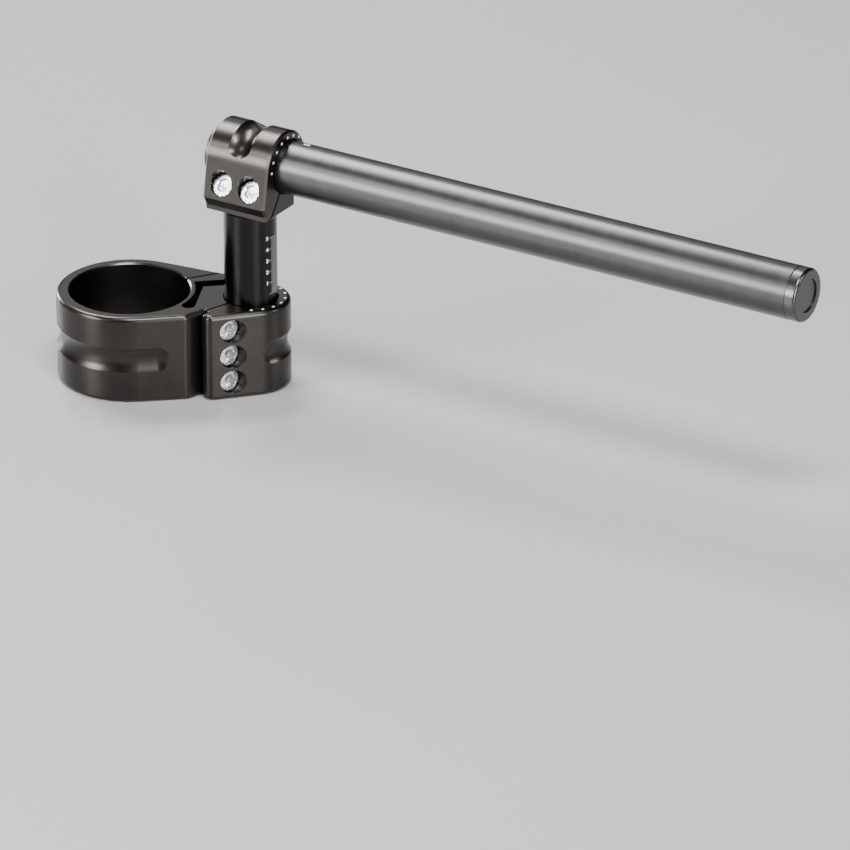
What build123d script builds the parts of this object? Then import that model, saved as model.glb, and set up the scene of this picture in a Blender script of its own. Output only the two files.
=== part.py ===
from build123d import *
import os
from math import asin, cos, degrees, radians, sin, sqrt, tan

# Clip-on handlebar: a clamp for the fork tube, a post that sets the height, a clamp for the bar.
# Z is the fork tube's axis, z = 0 is halfway up the fork clamp, +X points to the post.
# Lengths in millimetres, angles in degrees.

# What the three clamps hold.
fork_diameter = 50.0
post_diameter = 22.0
bar_diameter = 22.2

# Clearances, on the radius or along an axis.
turning_clearance = 0.05
thread_clearance = 0.05
head_clearance = 0.15
seat_clearance = 0.05
hole_spare = 0.2
same_size = 0.001

# Walls and cuts that the clamps share.
ring_wall = 5.5
slit_width = 1.0
bore_chamfer = 0.6

# Fork clamp.
clamp_height = 38.0
clamp_edge = 2.0
post_spacing = 50.6

# Pinch of the post's ring: its slit leaves the post's axis to the front and left.
riser_slit_angle = -133.0
lip_face_angle = -66.5
lip_length = 10.4
lip_mouth = 3.0
inner_lip_radius = 3.5
outer_lip_radius = 3.0
mouth_radius = 2.6
riser_screw_gap = 6.15
riser_screw_seat = 3.9
riser_screw_length = 12.0
clamp_screw_pitch = 11.4

# Pinch of the fork's ring: its slit runs out through the back wall.
fork_slit_angle = 31.0
fork_screw_gap = 8.0
fork_screw_seat = 4.0
fork_screw_length = 10.0

# Slot that frees the fork's ring: an arc beside the bore, then a leg that stops short of the post.
relief_wall = 2.0
relief_throat = 2.6
relief_end = 2.8
leg_angle = 17.0
leg_width = 5.6
leg_wall = 2.9

# Grooves that a ball-nosed cutter leaves round the rings.
groove_height = 10.5
groove_depth = 1.6
fork_groove_start = 105.0
fork_groove_run = 8.1
riser_groove_start = -47.5
riser_groove_stop = 60.0
bar_groove_start = 55.0
bar_groove_stop = 143.0

# Riser post, hollow, with a web that the head bolt pulls on.
post_wall = 4.0
post_edge = 0.4
web_thickness = 7.0
web_hole = 8.5

# Bar clamp on top of the post; its section is seen along the bar, with x to the back.
# The centre of its round lies forward of the bar's axis and above it, so the back wall is thin.
bar_angle = -23.0
bar_height = 78.0
bar_offset = 6.4
head_wall = 3.9
head_forward = 1.7
head_raise = 0.9
head_length = 29.8
head_edge = 0.9
flare_angle = 10.1
jaw_drop = 12.8
jaw_radius = 2.0
jaw_lift = 0.4
foot_drop = 19.0
foot_height = 2.4
bar_slit_angle = 233.0
bar_screw_gap = 4.25
bar_screw_seat = 4.7
bar_screw_length = 10.0
bar_screw_pitch = 13.2
spigot_diameter = 14.0
spigot_length = 11.0
spigot_gap = 0.5

# Bar tube and its end cap, with ends counted along the bar from the post.
bar_inner_end = -19.7
bar_outer_end = 251.8
bar_wall = 3.0
bar_chamfer = 1.0
seam_chamfer = 0.3
cap_length = 5.0
cap_edge = 1.2
cap_recess_radius = 7.0
cap_recess_depth = 0.6
plug_length = 14.0

# Low-head screws of the clamps, and the bolt inside the post. Each screw's gap above is from the wall
# of the bore that it closes to its axis; a counterbore runs out past the block by its access.
screw_diameter = 6.0
screw_head = 10.0
screw_head_height = 4.0
screw_hex = 5.0
head_access = 12.0
bolt_diameter = 8.0
bolt_head = 13.0
bolt_head_height = 8.0
bolt_hex = 6.0
bolt_grip = 8.5
head_chamfer = 0.3
tip_chamfer = 0.6
socket_share = 0.5

# Worked out from the sizes above.
fork_radius = fork_diameter / 2
post_radius = post_diameter / 2
bar_radius = bar_diameter / 2
fork_ring = fork_radius + ring_wall
riser_ring = post_radius + ring_wall
bar_ring = bar_radius + head_wall
riser_bore = post_radius + turning_clearance
bar_bore = bar_radius + turning_clearance
riser_screw_reach = riser_bore + riser_screw_gap
fork_screw_reach = fork_radius + fork_screw_gap
bar_screw_reach = bar_bore + bar_screw_gap
lip_reach = riser_ring + lip_length
half_height = clamp_height / 2
screw_rows = [-clamp_screw_pitch, 0, clamp_screw_pitch]
screw_bore = screw_diameter / 2 + thread_clearance
head_bore = screw_head / 2 + head_clearance
groove_ball = ((groove_height / 2) ** 2 + groove_depth**2) / (2 * groove_depth)
groove_lead = groove_ball - groove_depth
up = Vector(0, 0, 1)
post_axis = Vector(post_spacing, 0, 0)


def toward(angle, reach=1.0):
    """Level vector of the given length, its angle counted from +X."""
    return Vector(reach * cos(radians(angle)), reach * sin(radians(angle)), 0)


def in_slit(along, across):
    """Point by the post's slit: along it from the post's axis, then across it to the right."""
    return post_axis + toward(riser_slit_angle, along) + toward(riser_slit_angle + 90, across)


def ball_groove(ring, lead, start, stop, run=0.0):
    """Cutter whose ball is led round the plane's Z from start to stop, then straight on by run."""

    def spoke(angle):
        return ring.x_dir * cos(radians(angle)) + ring.y_dir * sin(radians(angle))

    section = Plane(ring.origin, x_dir=spoke(start), z_dir=spoke(start - 90))
    first = Plane(ring.origin + spoke(start) * lead, z_dir=spoke(start - 90))
    last = Plane(ring.origin + spoke(stop) * lead, z_dir=spoke(stop + 90))
    ball_align = (Align.CENTER, Align.CENTER, Align.MIN)
    with BuildPart() as cutter:
        with BuildSketch(section):
            with Locations((lead, 0)):
                Circle(groove_ball)
        revolve(axis=Axis(ring.origin, ring.z_dir), revolution_arc=stop - start)
        with Locations(first):
            Sphere(groove_ball, arc_size1=0, align=ball_align)
        if run > 0:
            with BuildSketch(last):
                Circle(groove_ball)
            extrude(amount=run)
        with Locations(last.offset(run)):
            Sphere(groove_ball, arc_size1=0, align=ball_align)
    return cutter.part


def socket_screw(seat, shank, length, head, head_height, across_flats):
    """Screw with a hex socket; the seat's plane is under the head and its Z leaves the hole."""
    with BuildPart() as screw:
        with BuildSketch(seat):
            Circle(head / 2)
        extrude(amount=head_height)
        chamfer(screw.faces().sort_by(Axis(seat.origin, seat.z_dir))[-1].edges(), head_chamfer)
        with BuildSketch(seat.offset(head_height)):
            RegularPolygon(across_flats / 2, 6, major_radius=False)
        extrude(amount=-head_height * socket_share, mode=Mode.SUBTRACT)
        with BuildSketch(seat):
            Circle(shank / 2)
        extrude(amount=-length)
        chamfer(screw.faces().sort_by(Axis(seat.origin, seat.z_dir))[0].edges(), tip_chamfer)
    return screw.part


os.makedirs("parts", exist_ok=True)

# Seats of the screws in the fork clamp, each plane facing out of its hole.
riser_pull = toward(riser_slit_angle + 90)
riser_seat = in_slit(riser_screw_reach, riser_screw_seat)
riser_seats = [Plane(riser_seat + up * row, x_dir=up, z_dir=riser_pull) for row in screw_rows]
fork_pull = toward(fork_slit_angle + 90)
fork_seat = toward(fork_slit_angle, fork_screw_reach) + fork_pull * fork_screw_seat
fork_seats = [Plane(fork_seat + up * row, x_dir=up, z_dir=fork_pull) for row in screw_rows]

# The two rings are joined by flats that touch both of them; front is where the front flat faces.
front = degrees(asin((fork_ring - riser_ring) / post_spacing)) - 90

# The outer lip's flat touches the post's ring and ends square to the slit.
lip_turn = lip_face_angle - riser_slit_angle
lip_end = (riser_ring - lip_reach * cos(radians(lip_turn))) / sin(radians(lip_turn))

# The inner lip's corner is where the front flat meets the slit's left wall.
inner_wall = in_slit(0, -slit_width / 2)
inner_facing = toward(riser_slit_angle).dot(toward(front))
inner_reach = (fork_ring - inner_wall.dot(toward(front))) / inner_facing

fork_groove = ball_groove(
    Plane.XY, fork_ring + groove_lead, fork_groove_start, front + 360, fork_groove_run
)
riser_groove = ball_groove(
    Plane(post_axis), riser_ring + groove_lead, riser_groove_start, riser_groove_stop
)

# Fork clamp: one milled block with two bores, two slits, a relief slot and ball-nosed grooves.
with BuildPart() as fork_clamp:
    with BuildSketch() as outline:
        Circle(fork_ring)
        with Locations(post_axis):
            Circle(riser_ring)
        Polygon(
            toward(front, fork_ring),
            post_axis + toward(front, riser_ring),
            post_axis + toward(-front, riser_ring),
            toward(-front, fork_ring),
            align=None,
        )
        Polygon(
            post_axis,
            in_slit(lip_reach, 0),
            in_slit(lip_reach, lip_end),
            post_axis + toward(lip_face_angle, riser_ring),
            align=None,
        )
        Polygon(
            in_slit(lip_reach - lip_mouth, -slit_width / 2),
            in_slit(2 * lip_reach, -slit_width / 2),
            in_slit(2 * lip_reach, lip_reach),
            in_slit(lip_reach, lip_reach),
            in_slit(lip_reach, slit_width / 2),
            in_slit(lip_reach - lip_mouth, slit_width / 2),
            align=None,
            mode=Mode.SUBTRACT,
        )
        inner_corner = in_slit(inner_reach, -slit_width / 2)
        fillet(outline.vertices().sort_by_distance(inner_corner)[0], inner_lip_radius)
        outer_corner = in_slit(lip_reach, lip_end)
        fillet(outline.vertices().sort_by_distance(outer_corner)[0], outer_lip_radius)
        mouth_corner = in_slit(lip_reach, slit_width / 2)
        fillet(outline.vertices().sort_by_distance(mouth_corner)[0], mouth_radius)
    extrude(amount=half_height, both=True)
    fillet(fork_clamp.faces().filter_by(Axis.Z).edges(), clamp_edge)

    # Bores for the fork tube and the post, chamfered at both ends.
    with Locations(up * half_height):
        Hole(fork_radius)
    with Locations(post_axis + up * half_height):
        Hole(riser_bore)
    round_edges = fork_clamp.edges().filter_by(GeomType.CIRCLE)
    bore_edges = round_edges.filter_by(lambda edge: abs(edge.radius - fork_radius) < same_size)
    bore_edges += round_edges.filter_by(lambda edge: abs(edge.radius - riser_bore) < same_size)
    chamfer(bore_edges, bore_chamfer)

    # Slits from each bore to the outside.
    with BuildSketch() as slits:
        with Locations(Location(post_axis, (0, 0, riser_slit_angle))):
            Rectangle(lip_reach, slit_width, align=(Align.MIN, Align.CENTER))
        with Locations(Location((0, 0, 0), (0, 0, fork_slit_angle))):
            Rectangle(post_spacing, slit_width, align=(Align.MIN, Align.CENTER))
    extrude(amount=half_height, both=True, mode=Mode.SUBTRACT)

    # Relief slot: its round end touches the thin wall and the straight side.
    relief_arc = fork_radius + relief_wall
    relief_side = relief_arc + relief_throat
    end_x = relief_side - relief_end
    end_y = -sqrt((relief_arc + relief_end) ** 2 - end_x**2)
    leg_swing = relief_side * tan(radians(leg_angle)) - leg_width / 2 / cos(radians(leg_angle))
    leg_clear = riser_bore + leg_wall + leg_width / 2
    leg_side = post_spacing * sin(radians(leg_angle))
    leg_reach = post_spacing * cos(radians(leg_angle)) - sqrt(leg_clear**2 - leg_side**2)
    with BuildSketch() as relief:
        Polygon(
            Vector(end_x, end_y) * (relief_arc / (relief_arc + relief_end)),
            (end_x, end_y),
            (relief_side, end_y),
            (relief_side, leg_swing),
            toward(leg_angle, relief_arc),
            align=None,
        )
        with Locations((end_x, end_y)):
            Circle(relief_end)
        with Locations(Location((0, 0, 0), (0, 0, leg_angle))):
            Rectangle(leg_reach, leg_width, align=(Align.MIN, Align.CENTER))
        with Locations(toward(leg_angle, leg_reach)):
            Circle(leg_width / 2)
        Circle(relief_arc, mode=Mode.SUBTRACT)
    extrude(amount=half_height, both=True, mode=Mode.SUBTRACT)

    # Screw holes, counterbored for the heads.
    with Locations([seat.offset(head_access) for seat in riser_seats]):
        CounterBoreHole(screw_bore, head_bore, head_access, head_access + riser_screw_length + hole_spare)
    with Locations([seat.offset(head_access) for seat in fork_seats]):
        CounterBoreHole(screw_bore, head_bore, head_access, head_access + fork_screw_length + hole_spare)

    add(fork_groove, mode=Mode.SUBTRACT)
    add(riser_groove, mode=Mode.SUBTRACT)
fork_clamp.part.label = "fork_clamp"
export_step(fork_clamp.part, "parts/fork_clamp.step")

for number, seat in enumerate(riser_seats, 1):
    riser_screw = socket_screw(
        seat, screw_diameter, riser_screw_length, screw_head, screw_head_height, screw_hex
    )
    riser_screw.label = f"riser_screw_{number}"
    export_step(riser_screw, f"parts/riser_screw_{number}.step")

for number, seat in enumerate(fork_seats, 1):
    fork_screw = socket_screw(
        seat, screw_diameter, fork_screw_length, screw_head, screw_head_height, screw_hex
    )
    fork_screw.label = f"fork_screw_{number}"
    export_step(fork_screw, f"parts/fork_screw_{number}.step")

# Riser post: a round bar bored from both ends, with the web between the bores.
foot_level = bar_height - foot_drop
post_top = foot_level - seat_clearance
socket_depth = spigot_length + spigot_gap
web_bottom = post_top - socket_depth - web_thickness
with BuildPart() as riser_post:
    with BuildSketch(Plane(post_axis - up * half_height)):
        Circle(post_radius)
    extrude(amount=post_top + half_height)
    chamfer(riser_post.edges().filter_by(GeomType.CIRCLE), post_edge)
    with Locations(post_axis + up * post_top):
        CounterBoreHole(web_hole / 2, spigot_diameter / 2 + turning_clearance, socket_depth)
    with Locations(Plane(post_axis - up * half_height, z_dir=-up)):
        Hole(post_radius - post_wall, web_bottom + half_height)
riser_post.part.label = "riser_post"
export_step(riser_post.part, "parts/riser_post.step")

# Frames of the bar: the section's x points back, its y up and its z out along the bar.
bar_out = toward(bar_angle)
bar_back = toward(bar_angle + 90)
section = Plane(post_axis + bar_back * bar_offset + up * bar_height, x_dir=bar_back, z_dir=bar_out)
foot_front = -post_radius - bar_offset
foot_back = post_radius - bar_offset

# Seats of the bar clamp's screws, to either side of the post's axis.
slit_run = Vector(cos(radians(bar_slit_angle)), sin(radians(bar_slit_angle)))
slit_pull = Vector(slit_run.Y, -slit_run.X)
bar_seat = slit_run * bar_screw_reach + slit_pull * bar_screw_seat
bar_pull = bar_back * slit_pull.X + up * slit_pull.Y
bar_seats = [
    Plane(section.from_local_coords(bar_seat + up * side), x_dir=bar_out, z_dir=bar_pull)
    for side in (-bar_screw_pitch / 2, bar_screw_pitch / 2)
]
head_centre = section.from_local_coords((-head_forward, head_raise))
head_round = Plane(head_centre, x_dir=bar_back, z_dir=bar_out)
bar_groove = ball_groove(head_round, bar_ring + groove_lead, bar_groove_start, bar_groove_stop)

# The front jaw's flat touches the round and leans out by the flare.
lean = Vector(-cos(radians(flare_angle)), sin(radians(flare_angle)))
flat_reach = bar_ring + Vector(-head_forward, head_raise).dot(lean)
jaw_x = (flat_reach + jaw_drop * lean.Y) / lean.X

# Bar clamp: a ring with a flared front jaw, on a foot and a spigot that seat in the post.
with BuildPart() as bar_clamp:
    with BuildSketch(section) as profile:
        with Locations((-head_forward, head_raise)):
            Circle(bar_ring)
        Polygon(
            (0, 0),
            Vector(-head_forward, head_raise) + lean * bar_ring,
            (jaw_x, -jaw_drop),
            (foot_front, foot_height - foot_drop),
            (foot_front, -foot_drop),
            (foot_back, -foot_drop),
            (foot_back, 0),
            align=None,
        )
        jaw_corner = section.from_local_coords((jaw_x, -jaw_drop))
        fillet(profile.vertices().sort_by_distance(jaw_corner)[0], jaw_radius)
    extrude(amount=head_length / 2, both=True)
    chamfer(bar_clamp.faces().filter_by(Axis(section.origin, section.z_dir)).edges(), head_edge)

    # Bore for the bar, chamfered at both ends.
    with Locations(section.offset(head_length / 2)):
        Hole(bar_bore)
    round_edges = bar_clamp.edges().filter_by(GeomType.CIRCLE)
    chamfer(round_edges.filter_by(lambda edge: abs(edge.radius - bar_bore) < same_size), bore_chamfer)

    # Slit, and the jaw's underside lifted clear of the post.
    with BuildSketch(section) as openings:
        with Locations(Location((0, 0, 0), (0, 0, bar_slit_angle))):
            Rectangle(2 * foot_drop, slit_width, align=(Align.MIN, Align.CENTER))
        with Locations((-foot_drop / tan(radians(bar_slit_angle)), -foot_drop)):
            Rectangle(foot_drop, jaw_lift, align=(Align.MAX, Align.MIN))
    extrude(amount=head_length, both=True, mode=Mode.SUBTRACT)

    with Locations([seat.offset(head_access) for seat in bar_seats]):
        CounterBoreHole(screw_bore, head_bore, head_access, head_access + bar_screw_length + hole_spare)
    add(bar_groove, mode=Mode.SUBTRACT)

    # Spigot on the post's axis, bored for the head bolt.
    with BuildSketch(Plane(post_axis + up * foot_level)):
        Circle(spigot_diameter / 2)
    extrude(amount=-spigot_length)
    with Locations(Plane(post_axis + up * (foot_level - spigot_length), z_dir=-up)):
        Hole(bolt_diameter / 2 + thread_clearance, bolt_grip + hole_spare)
bar_clamp.part.label = "bar_clamp"
export_step(bar_clamp.part, "parts/bar_clamp.step")

for number, seat in enumerate(bar_seats, 1):
    bar_screw = socket_screw(
        seat, screw_diameter, bar_screw_length, screw_head, screw_head_height, screw_hex
    )
    bar_screw.label = f"bar_screw_{number}"
    export_step(bar_screw, f"parts/bar_screw_{number}.step")

# Head bolt: up through the post's web into the spigot.
bolt_seat = web_bottom - seat_clearance
bolt_length = foot_level - spigot_length + bolt_grip - bolt_seat
bolt_plane = Plane(post_axis + up * bolt_seat, z_dir=-up)
head_bolt = socket_screw(bolt_plane, bolt_diameter, bolt_length, bolt_head, bolt_head_height, bolt_hex)
head_bolt.label = "head_bolt"
export_step(head_bolt, "parts/head_bolt.step")

# Handlebar tube, chamfered at its inner end and at the seam with the cap.
along_bar = Axis(section.origin, section.z_dir)
with BuildPart() as handlebar_tube:
    with BuildSketch(section.offset(bar_inner_end)):
        Circle(bar_radius)
    extrude(amount=bar_outer_end - bar_inner_end)
    ends = handlebar_tube.edges().filter_by(GeomType.CIRCLE).sort_by(along_bar)
    chamfer(ends[0], bar_chamfer)
    ends = handlebar_tube.edges().filter_by(GeomType.CIRCLE).sort_by(along_bar)
    chamfer(ends[-1], seam_chamfer)
    with Locations(section.offset(bar_outer_end)):
        Hole(bar_radius - bar_wall)
handlebar_tube.part.label = "handlebar_tube"
export_step(handlebar_tube.part, "parts/handlebar_tube.step")

# End cap: a turned rim with a rounded edge and a shallow recess, on a plug inside the tube.
with BuildPart() as bar_end_cap:
    with BuildSketch(section.offset(bar_outer_end)):
        Circle(bar_radius)
    extrude(amount=cap_length)
    rims = bar_end_cap.edges().filter_by(GeomType.CIRCLE).sort_by(along_bar)
    fillet(rims[-1], cap_edge)
    rims = bar_end_cap.edges().filter_by(GeomType.CIRCLE).sort_by(along_bar)
    chamfer(rims[0], seam_chamfer)
    with Locations(section.offset(bar_outer_end + cap_length)):
        Hole(cap_recess_radius, cap_recess_depth)
    with BuildSketch(section.offset(bar_outer_end)):
        Circle(bar_radius - bar_wall - turning_clearance)
    extrude(amount=-plug_length)
bar_end_cap.part.label = "bar_end_cap"
export_step(bar_end_cap.part, "parts/bar_end_cap.step")
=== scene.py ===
from math import radians

import bmesh
import bpy
import numpy as np
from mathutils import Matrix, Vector


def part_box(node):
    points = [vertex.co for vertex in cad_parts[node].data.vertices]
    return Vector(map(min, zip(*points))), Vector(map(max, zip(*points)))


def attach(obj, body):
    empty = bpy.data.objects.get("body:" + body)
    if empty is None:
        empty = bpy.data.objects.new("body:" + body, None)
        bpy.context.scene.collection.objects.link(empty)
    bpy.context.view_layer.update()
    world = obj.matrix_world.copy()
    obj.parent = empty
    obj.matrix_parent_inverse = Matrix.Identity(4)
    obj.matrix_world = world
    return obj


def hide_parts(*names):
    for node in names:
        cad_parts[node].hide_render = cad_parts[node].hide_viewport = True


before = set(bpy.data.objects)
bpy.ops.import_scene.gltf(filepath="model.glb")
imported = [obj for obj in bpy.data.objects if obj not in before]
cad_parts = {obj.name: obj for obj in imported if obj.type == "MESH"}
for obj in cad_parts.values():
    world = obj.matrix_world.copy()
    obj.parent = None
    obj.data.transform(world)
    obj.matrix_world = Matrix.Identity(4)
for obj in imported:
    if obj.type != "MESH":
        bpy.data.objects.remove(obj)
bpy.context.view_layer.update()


# Fork clamp.
# One block of aluminium alloy, milled all over, blasted fine and anodised a dark brownish grey.
# Two slit rings in one piece: the large one grips the fork tube, the small one the riser post.
class Wire:
    """A value in a shader tree. Arithmetic on it adds Math nodes, and node() adds any other node."""

    def __init__(self, tree, socket):
        self.tree = tree
        self.socket = socket

    def node(self, kind, settings, inputs, output=0):
        """Adds a node, its settings first and then its inputs, and gives one of its outputs."""
        made = self.tree.nodes.new(kind)
        for name, value in settings.items():
            setattr(made, name, value)
        for name, value in inputs.items():
            if isinstance(value, Wire):
                self.tree.links.new(value.socket, made.inputs[name])
            else:
                made.inputs[name].default_value = value
        return Wire(self.tree, made.outputs[output])

    def math(self, operation, *values):
        return self.node("ShaderNodeMath", {"operation": operation}, dict(enumerate(values)))

    def __add__(self, other):
        return self.math("ADD", self, other)

    def __radd__(self, other):
        return self.math("ADD", other, self)

    def __sub__(self, other):
        return self.math("SUBTRACT", self, other)

    def __rsub__(self, other):
        return self.math("SUBTRACT", other, self)

    def __mul__(self, other):
        return self.math("MULTIPLY", self, other)

    def __rmul__(self, other):
        return self.math("MULTIPLY", other, self)

    def __pow__(self, other):
        return self.math("POWER", self, other)


def noise(place, scale, detail=2.0):
    """Noise between 0 and 1 over the object's coordinates, scale in waves a metre."""
    return place.node("ShaderNodeTexNoise", {}, {"Vector": place, "Scale": scale, "Detail": detail})


def mix(factor, first, second):
    """Colour between two colours."""
    ends = {0: factor, 6: (*first, 1), 7: (*second, 1)}
    return factor.node("ShaderNodeMix", {"data_type": "RGBA"}, ends, 2)


def bump(height, depth):
    """Normal of a surface with the given height map, whose whole range is depth metres."""
    return height.node("ShaderNodeBump", {}, {"Height": height, "Distance": depth, "Strength": 1.0})


def begin(name):
    """New material: gives it with its object coordinates."""
    material = bpy.data.materials.new(name)
    material.use_nodes = True
    tree = material.node_tree
    return material, Wire(tree, tree.nodes.new("ShaderNodeTexCoord").outputs["Object"])


def feed(material, inputs):
    """Sets the shader's sockets, or links what varies."""
    tree = material.node_tree
    shader = tree.nodes["Principled BSDF"]
    for name, value in inputs.items():
        if isinstance(value, Wire):
            tree.links.new(value.socket, shader.inputs[name])
        else:
            shader.inputs[name].default_value = value


def dress(material, *nodes):
    """Gives CAD nodes a material."""
    for node in nodes:
        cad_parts[node].data.materials.clear()
        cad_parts[node].data.materials.append(material)


clamp_metal, place = begin("anodised_clamp")
cloud = noise(place, 60.0)
grain = noise(place, 2600.0, 3.0)
blast_depth = 0.000012
feed(clamp_metal, {
    "Base Color": mix(cloud, (0.033, 0.0306, 0.0277), (0.054, 0.0502, 0.0457)),
    "Metallic": 1.0,
    "Roughness": 0.25 + 0.08 * grain + 0.05 * cloud,
    "Coat Weight": 0.1,
    "Coat Roughness": 0.13,
    "Normal": bump(grain, blast_depth),
})
dress(clamp_metal, "fork_clamp")


# Degree dots on the fork clamp's top.
# Shallow drilled dots filled with white paint, every 20 degrees round the post.
# They show how far the bar is turned to either side.
def piece(name, points, faces, material, body, crease):
    """Object from vertices in metres and faces, with its seams merged and its faces outwards.

    Edges that turn by more than crease degrees stay sharp."""
    seam = 1e-7
    mesh = bpy.data.meshes.new(name)
    mesh.from_pydata(points.tolist(), [], faces)
    shape = bmesh.new()
    shape.from_mesh(mesh)
    bmesh.ops.remove_doubles(shape, verts=shape.verts, dist=seam)
    bmesh.ops.dissolve_degenerate(shape, edges=shape.edges, dist=seam)
    bmesh.ops.recalc_face_normals(shape, faces=shape.faces)
    shape.to_mesh(mesh)
    shape.free()
    mesh.shade_smooth()
    mesh.set_sharp_from_angle(angle=radians(crease))
    mesh.materials.append(material)
    made = bpy.data.objects.new(name, mesh)
    bpy.context.scene.collection.objects.link(made)
    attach(made, body)
    return made


def quads(rows, columns, count=1):
    """Faces of count grids of rows by columns points, each grid closed along its columns."""
    row, column = np.meshgrid(np.arange(rows - 1), np.arange(columns), indexing="ij")
    beside = (column + 1) % columns
    corners = [row * columns + column, row * columns + beside]
    corners += [(row + 1) * columns + beside, (row + 1) * columns + column]
    grid = np.stack(corners, -1).reshape(-1, 4)
    return (np.arange(count)[:, None, None] * rows * columns + grid).reshape(-1, 4).tolist()


def turned(origin, axis, across, radii, heights):
    """Surface round an axis: point (i, j) lies at radius radii[i, j] and height heights[i, j] on it."""
    angle = np.linspace(0, 2 * np.pi, radii.shape[1], endpoint=False)
    axis, across = np.asarray(axis, float), np.asarray(across, float)
    beside = np.cross(axis, across)
    outward = np.cos(angle)[:, None] * across + np.sin(angle)[:, None] * beside
    points = radii[:, :, None] * outward + heights[:, :, None] * axis
    return (points + np.asarray(origin)).reshape(-1, 3)


def dots(centres, axis, across, radius):
    """Points and faces of low domes of paint on a flat, each closed below the surface."""
    around = np.ones(24)
    radii = np.outer([0, 1, 1, 0.8, 0.45, 0], around) * radius
    heights = np.outer([-0.1, -0.1, 0.01, 0.06, 0.08, 0.085], around) * radius
    domes = [turned(centre, axis, across, radii, heights) for centre in centres]
    return np.concatenate(domes), quads(*radii.shape, len(domes))


def spokes(degrees_from_x):
    """Level unit vectors at the given angles."""
    angle = np.radians(degrees_from_x)
    return np.stack([np.cos(angle), np.sin(angle), 0 * angle], -1)


paint, place = begin("white_paint")
feed(paint, {
    "Base Color": mix(noise(place, 1500.0), (0.74, 0.74, 0.72), (0.86, 0.86, 0.84)),
    "Roughness": 0.4 + 0.2 * noise(place, 900.0),
})
paint_crease = 60.0
upward = np.array([0.0, 0.0, 1.0])
post_axis = np.array([0.0506, 0.0, 0.0])
clamp_top = 0.019
swivel_circle = 0.0142
swivel_dot = 0.00058
swivel_centres = post_axis + clamp_top * upward + swivel_circle * spokes(np.arange(-80, 81, 20))
points, faces = dots(swivel_centres, upward, (1, 0, 0), swivel_dot)
piece("swivel_dots", points, faces, paint, "clamp", paint_crease)

# Clamp screws.
# Low-head socket screws of steel, cold formed and zinc plated bright: a hexagon socket with a
# countersunk mouth, a ring groove and a notched rim. Each replaces its plain CAD screw.
screw_zinc, place = begin("bright_zinc")
tarnish = noise(place, 420.0, 4.0)
plating_depth = 0.00001
feed(screw_zinc, {
    "Base Color": mix(tarnish, (0.84, 0.91, 0.94), (0.96, 0.985, 0.99)),
    "Metallic": 1.0,
    "Roughness": 0.14 + 0.2 * tarnish,
    "Normal": bump(noise(place, 1500.0), plating_depth),
})


def socket_screw(seat, axis, across, length):
    """Turned surface from the socket's floor over the rim and down the shank to the tip.

    A hexagon of apothem a has radius a / cos(angle from the middle of its side). The rim is a quarter
    of an ellipse, and its notches follow the root of a cosine's upper half. Lengths are in millimetres,
    heights from the seat under the head."""
    around, notches = 168, 14
    apothem, mouth, head, shank = 2.5, 3.0, 4.0, 3.0
    rim_start, rim_width, rim_height = 4.2, 0.75, 0.4
    notch_width, notch_height = 0.3, 0.25
    angle = np.linspace(0, 360, around, endpoint=False)
    hexagon = apothem / np.cos(np.radians((angle + 30) % 60 - 30))
    notch = np.clip(np.cos(np.radians(notches * angle)), 0, 1) ** 0.5
    wide = rim_width - notch_width * notch
    high = rim_height - notch_height * notch
    rim_foot = head - rim_height
    rows = [(0, 2.35), (0.8, 2.5), (hexagon, 2.55), (hexagon, 3.6), (mouth, head)]
    rows += [(3.3, head), (3.45, 3.65), (3.8, 3.65), (3.95, head)]
    for turn in np.radians(np.linspace(0, 90, 5)):
        rows.append((rim_start + wide * np.sin(turn), rim_foot + high * np.cos(turn)))
    rows += [(rim_start + wide, 0.5), (4.7, 0.3), (4.6, 0.0)]
    rows += [(shank, 0.0), (shank, 0.6 - length), (2.4, -length), (0, -length)]
    radii = np.array([row[0] + 0 * angle for row in rows]) / 1000
    heights = np.array([row[1] + 0 * angle for row in rows]) / 1000
    return turned(seat, axis, across, radii, heights), quads(*radii.shape)


def screws(kind, seats, axis, across, length, body):
    """A set of equal screws, named like the CAD screws that they replace."""
    screw_crease = 22.0
    for number, seat in enumerate(seats, 1):
        points, faces = socket_screw(seat, axis, across, length)
        screw = piece(f"{kind}_{number}_zinc", points, faces, screw_zinc, body, screw_crease)
        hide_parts(f"{kind}_{number}")


# A seat lies out from its ring's axis along the slit (run), then off the slit towards the head (pull).
screw_pitch = 0.0114
column = np.outer([-screw_pitch, 0, screw_pitch], upward)
riser_run, riser_pull = spokes(np.array([-133.0, -43.0]))
riser_out, riser_off, riser_length = 0.0172, 0.0039, 12.0
riser_seats = post_axis + riser_out * riser_run + riser_off * riser_pull + column
screws("riser_screw", riser_seats, riser_pull, upward, riser_length, "clamp")
fork_run, fork_pull = spokes(np.array([31.0, 121.0]))
fork_out, fork_off, fork_length = 0.033, 0.004, 10.0
fork_seats = fork_out * fork_run + fork_off * fork_pull + column
screws("fork_screw", fork_seats, fork_pull, upward, fork_length, "clamp")


# Riser post.
# A thick-walled aluminium tube, turned, polished and anodised gloss black.
# It slides and turns in the fork clamp, and the bar clamp is bolted down on it.
def streaks(along, scale, detail=3.0):
    """Noise between 0 and 1 over one length only, scale in waves a metre."""
    return along.node(
        "ShaderNodeTexNoise", {"noise_dimensions": "1D"}, {"W": along, "Scale": scale, "Detail": detail}
    )


post_black, place = begin("gloss_black_post")
turning = streaks(place.node("ShaderNodeSeparateXYZ", {}, {0: place}, "Z"), 1600.0)
feed(post_black, {
    "Base Color": mix(turning, (0.0155, 0.0155, 0.0157), (0.0195, 0.0195, 0.0199)),
    "Metallic": 1.0,
    "Roughness": 0.25 + 0.03 * turning,
    "Coat Weight": 0.12,
    "Coat Roughness": 0.1,
})
dress(post_black, "riser_post")

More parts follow.
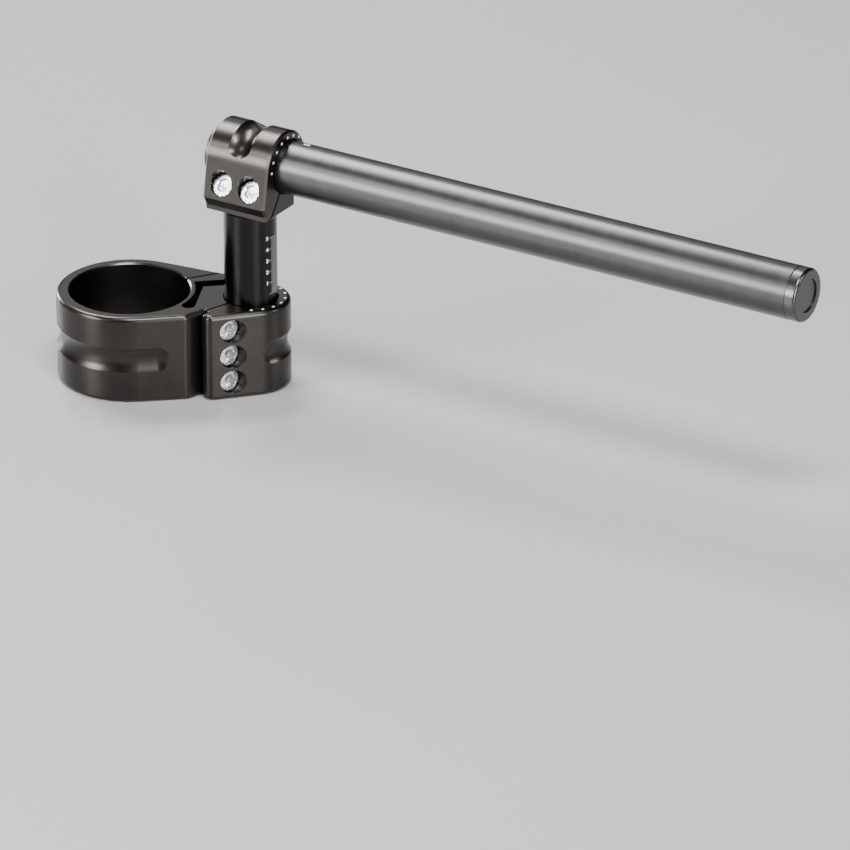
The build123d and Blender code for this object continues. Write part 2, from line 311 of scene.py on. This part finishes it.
# Printed height scale.
# White ink on the post: a ruler of fine millimetre strokes with a longer stroke and a plain number
# at each step. It turns with the bar clamp, which the real post is bolted to.
post_radius = 0.011
bar_bearing = -23.0


def on_post(angle, height, lift):
    """Points on the post: degrees from the bar's plane, height and lift off the wall in metres."""
    turn = np.radians(angle + bar_bearing)
    reach = post_radius + lift
    return np.stack([post_axis[0] + reach * np.cos(turn), reach * np.sin(turn), height], -1)


def strokes(starts, stop, heights, width):
    """Thin curved bars of ink: each section's four corners are swept from start to stop degrees."""
    sections = 6
    sunk, proud = -0.00002, 0.00003
    share = np.linspace(0, 1, sections)
    angle = starts[:, None] + share * (stop - starts[:, None])
    corner_height = np.array([-0.5, 0.5, 0.5, -0.5]) * width
    corner_lift = np.array([sunk, sunk, proud, proud])
    height = heights[:, None, None] + corner_height + 0 * angle[:, :, None]
    points = on_post(angle[:, :, None] + 0 * corner_height, height, corner_lift + 0 * height)
    ends = points[:, [0, -1]].mean(axis=2, keepdims=True) + 0 * points[:, [0, -1]]
    closed = np.concatenate([ends[:, :1], points, ends[:, 1:]], axis=1)
    return closed.reshape(-1, 3), quads(sections + 2, 4, len(heights))


scale_foot = 0.0233
millimetre = 0.001
marks = np.arange(26)
long_start, short_start, stroke_stop = -14.2, -6.6, 10.0
stroke_width = 0.00008
starts = np.where(marks % 5 == 0, long_start, short_start)
points, faces = strokes(starts, stroke_stop, scale_foot + millimetre * marks, stroke_width)
piece("height_scale", points, faces, paint, "bar_head", paint_crease)

number_height, number_stretch, number_angle = 0.0017, 1.15, -18.7
ink_lift, ink_half = 0.00001, 0.00002
for number in range(1, 6):
    curve = bpy.data.curves.new(f"height_{number}", "FONT")
    curve.body = str(number)
    curve.extrude = 0.02
    curve.offset = 0.028
    text = bpy.data.objects.new(f"height_{number}", curve)
    letter = bpy.data.meshes.new_from_object(text)
    bpy.data.objects.remove(text)
    flat = np.empty(len(letter.vertices) * 3)
    letter.vertices.foreach_get("co", flat)
    flat = flat.reshape(-1, 3)
    low, high = flat.min(axis=0), flat.max(axis=0)
    flat = (flat - (low + high) / 2) * number_height / (high[1] - low[1])
    angle = number_angle + np.degrees(flat[:, 0] * number_stretch / post_radius)
    level = scale_foot + (5 * number + 0.1) * millimetre
    ink = on_post(angle, level + flat[:, 1], ink_lift + ink_half * np.sign(flat[:, 2]))
    outline = [list(face.vertices) for face in letter.polygons]
    piece(f"height_number_{number}", ink, outline, paint, "bar_head", paint_crease)

# Bar clamp.
# A second milled block, blasted and anodised like the fork clamp, bolted to the post's top.
# White dots on its outer end face show how far the bar is rolled.
dress(clamp_metal, "bar_clamp")
bar_out = np.array([0.920505, -0.390731, 0.0])
bar_back = np.array([0.390731, 0.920505, 0.0])
bar_offset, bar_height = 0.0064, 0.078
bar_middle = post_axis + bar_offset * bar_back + bar_height * upward


def round_bar(degrees_from_front):
    """Unit vectors across the bar, at angles from its front up over its top."""
    turn = np.radians(degrees_from_front)[..., None]
    return np.sin(turn) * upward - np.cos(turn) * bar_back


clamp_end = 0.0149
roll_circle = 0.0130
roll_dot = 0.00056
roll_centres = bar_middle + clamp_end * bar_out + roll_circle * round_bar(np.arange(7, 128, 20))
points, faces = dots(roll_centres, bar_out, upward, roll_dot)
piece("roll_dots", points, faces, paint, "bar_head", paint_crease)
slit_run, slit_pull = round_bar(np.array([-53.0, 37.0]))
slit_out, slit_off, bar_screw_length = 0.0154, 0.0047, 10.0
screw_side = 0.0066
pair = np.outer([-screw_side, screw_side], bar_out)
bar_seats = bar_middle + slit_out * slit_run + slit_off * slit_pull + pair
screws("bar_screw", bar_seats, slit_pull, bar_out, bar_screw_length, "bar_head")

# Head bolt.
# A steel socket bolt with a black oxide skin, up through the post's web into the bar clamp.
# It is seen only from below, inside the hollow post.
black_oxide, place = begin("black_oxide")
oiled = noise(place, 500.0, 3.0)
feed(black_oxide, {
    "Base Color": mix(oiled, (0.03, 0.03, 0.032), (0.06, 0.058, 0.056)),
    "Metallic": 1.0,
    "Roughness": 0.35 + 0.15 * oiled,
})
dress(black_oxide, "head_bolt")


# Handlebar tube.
# Drawn aluminium tube, finished on a lathe and anodised satin grey; the turning lines stay visible.
# It is held only by the bar clamp's grip, so it can be rolled. A white mark shows its roll.
def dot(first, second):
    """Scalar product of two vectors."""
    factors = {0: first, 1: second}
    return first.node("ShaderNodeVectorMath", {"operation": "DOT_PRODUCT"}, factors, "Value")


bar_metal, place = begin("satin_bar")
along = dot(place, bar_out)
fine = streaks(along, 2400.0, 4.0)
broad = streaks(along, 180.0)
mottle = noise(place, 90.0, 3.0)
lines = 0.55 * fine + 0.25 * broad + 0.2 * mottle
line_depth = 0.000006
feed(bar_metal, {
    "Base Color": mix(lines, (0.042, 0.0424, 0.0414), (0.112, 0.1128, 0.11)),
    "Metallic": 1.0,
    "Roughness": 0.24 + 0.22 * lines,
    "Normal": bump(fine, line_depth),
})
dress(bar_metal, "handlebar_tube")
tube_radius = 0.0111
witness_up = round_bar(97.0)
witness_place, witness_half, witness_dot = 0.0229, 0.0008, 0.0007
witness_ends = np.outer([witness_place - witness_half, witness_place + witness_half], bar_out)
witness_centres = bar_middle + tube_radius * witness_up + witness_ends
points, faces = dots(witness_centres, witness_up, bar_out, witness_dot)
piece("witness_mark", points, faces, paint, "bar", paint_crease)

# Bar end cap.
# Turned from aluminium bar, with a rounded rim and a shallow recess in its end, left brighter than
# the tube. A plug below the seam is pressed into the tube.
cap_metal, place = begin("turned_cap")
from_middle = {0: place, 1: tuple(bar_middle)}
from_axis = place.node("ShaderNodeVectorMath", {"operation": "SUBTRACT"}, from_middle, "Vector")
depth = dot(from_axis, bar_out)
radius = (dot(from_axis, from_axis) - depth * depth) ** 0.5
rings = streaks(radius + depth, 2600.0)
ring_depth = 0.000008
feed(cap_metal, {
    "Base Color": mix(rings, (0.06, 0.0604, 0.06), (0.13, 0.131, 0.128)),
    "Metallic": 1.0,
    "Roughness": 0.2 + 0.16 * rings,
    "Normal": bump(rings, ring_depth),
})
dress(cap_metal, "bar_end_cap")


# Studio.
# A plain pale floor, soft boxes at the left, the right, above and behind, and a grey room for fill.
# The camera stands where the photograph was taken from.
def softbox(name, spot, aim, width, height, power):
    """Rectangular area light at spot, turned to face aim."""
    light = bpy.data.lights.new(name, "AREA")
    light.shape = "RECTANGLE"
    light.size = width
    light.size_y = height
    light.energy = power
    lamp = bpy.data.objects.new(name, light)
    lamp.location = spot
    lamp.rotation_euler = (Vector(aim) - Vector(spot)).to_track_quat("-Z", "Y").to_euler()
    bpy.context.scene.collection.objects.link(lamp)


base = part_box("fork_clamp")[0].z
reach = 6
corners = [(-reach, -reach, base), (reach, -reach, base), (reach, reach, base), (-reach, reach, base)]
floor_mesh = bpy.data.meshes.new("floor")
floor_mesh.from_pydata(corners, [], [(0, 1, 2, 3)])
floor = bpy.data.objects.new("floor", floor_mesh)
bpy.context.scene.collection.objects.link(floor)
pale = begin("pale_floor")[0]
feed(pale, {"Base Color": (0.37, 0.37, 0.37, 1.0), "Roughness": 0.35})
floor_mesh.materials.append(pale)

softbox("left_box", (-1.5, -1.26, 0.68), (0.05, 0, 0.05), 0.75, 0.75, 46)
softbox("right_box", (1.3, -1.72, 0.65), (0.1, 0, 0.05), 0.8, 1.15, 48)
softbox("side_box", (1.9, -0.23, 0.93), (0.05, 0, 0.0), 0.35, 0.6, 12)
softbox("back_box", (-0.72, 0.96, 1.8), (0.1, 0, 0.05), 1.2, 0.45, 62)
softbox("top_box", (0.35, -0.75, 1.8), (0.1, 0, 0.05), 0.7, 0.25, 40)
softbox("rim_box", (-1.45, 1.4, 0.35), (0.0, 0, 0.02), 0.4, 0.6, 26)
softbox("bar_box", (-1.36, -0.75, 1.29), (0.1, 0, 0.07), 0.5, 0.35, 8)
softbox("top_card", (-0.45, 2.6, 1.3), (0.05, 0, 0.02), 1.6, 0.5, 3.5)
room = bpy.data.worlds.new("room")
room.use_nodes = True
room.node_tree.nodes["Background"].inputs["Color"].default_value = (0.05, 0.05, 0.05, 1)
bpy.context.scene.world = room

lens = bpy.data.cameras.new("camera")
lens.lens = 337.36
lens.sensor_width = 36
camera = bpy.data.objects.new("camera", lens)
camera_height, look_down, look_left = 1.404368, 25.5697, 8.4627
camera.location = (0.559818, -2.935949, base + camera_height)
camera.rotation_euler = (radians(90 - look_down), 0, radians(look_left))
bpy.context.scene.collection.objects.link(camera)
bpy.context.scene.camera = camera
